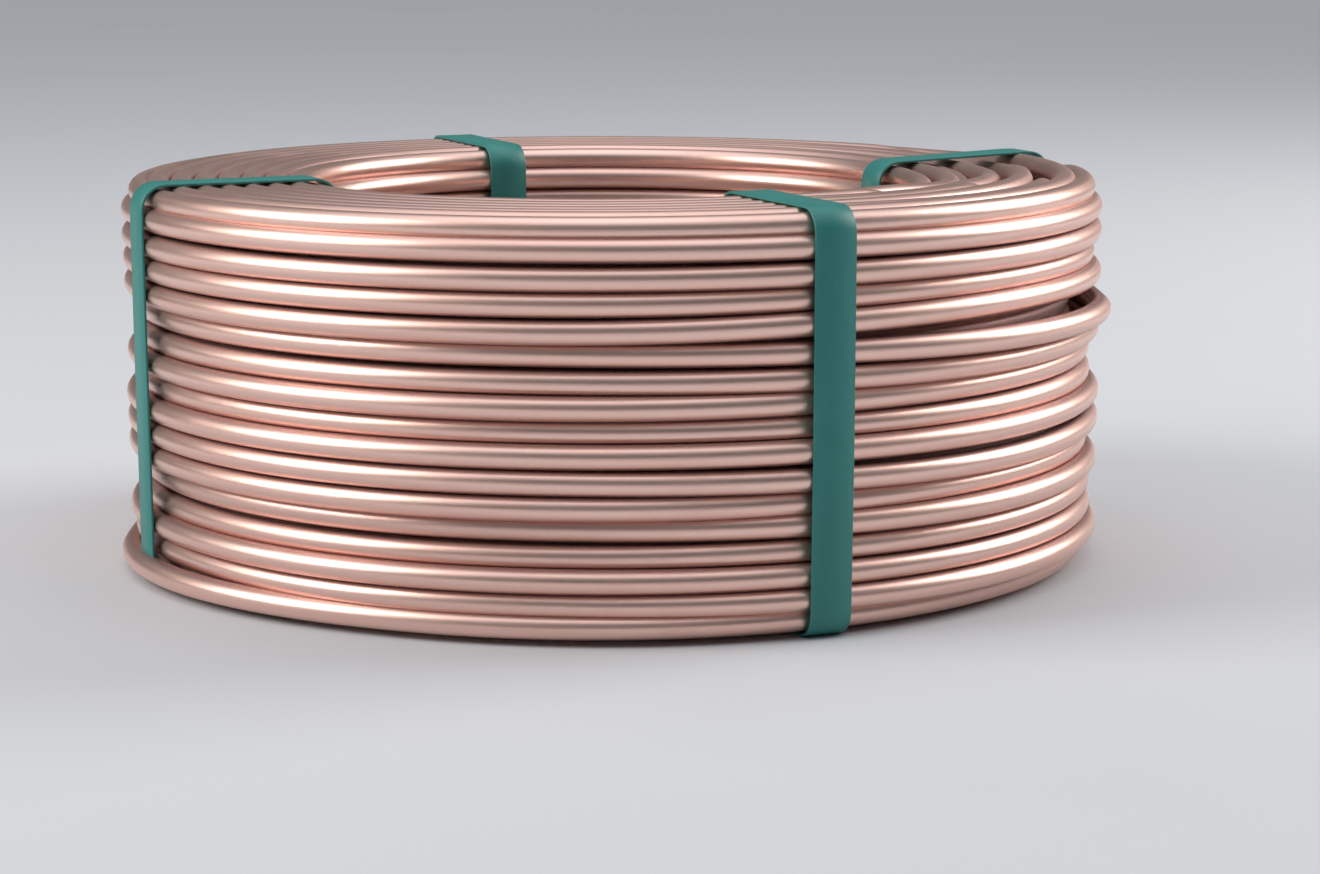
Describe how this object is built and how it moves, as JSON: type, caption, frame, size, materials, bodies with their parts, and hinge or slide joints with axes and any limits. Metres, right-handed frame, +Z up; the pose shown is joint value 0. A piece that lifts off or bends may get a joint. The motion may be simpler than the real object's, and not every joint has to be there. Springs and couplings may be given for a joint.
{
  "type": "copper rod coil",
  "caption": "Thick, flat-lying ring of level-wound round copper rod with an open eye, held by plastic straps drawn round its section.",
  "frame": {"origin": "on the coil's axis, in the plane of the floor that the straps lie on", "axes": "+Z up along the coil's axis; +X and +Y in the floor, the first strap 22.5 degrees anticlockwise from +X seen from above"},
  "size_m": [0.3398, 0.3398, 0.1346],
  "materials": {
    "copper_rod": null,
    "green_strap": "smooth polyester strapping"
  },
  "bodies": {
    "root": {"rod_coil": "copper_rod", "strap_1": "green_strap", "strap_2": "green_strap", "strap_3": "green_strap", "strap_4": "green_strap"}
  },
  "joints": []
}
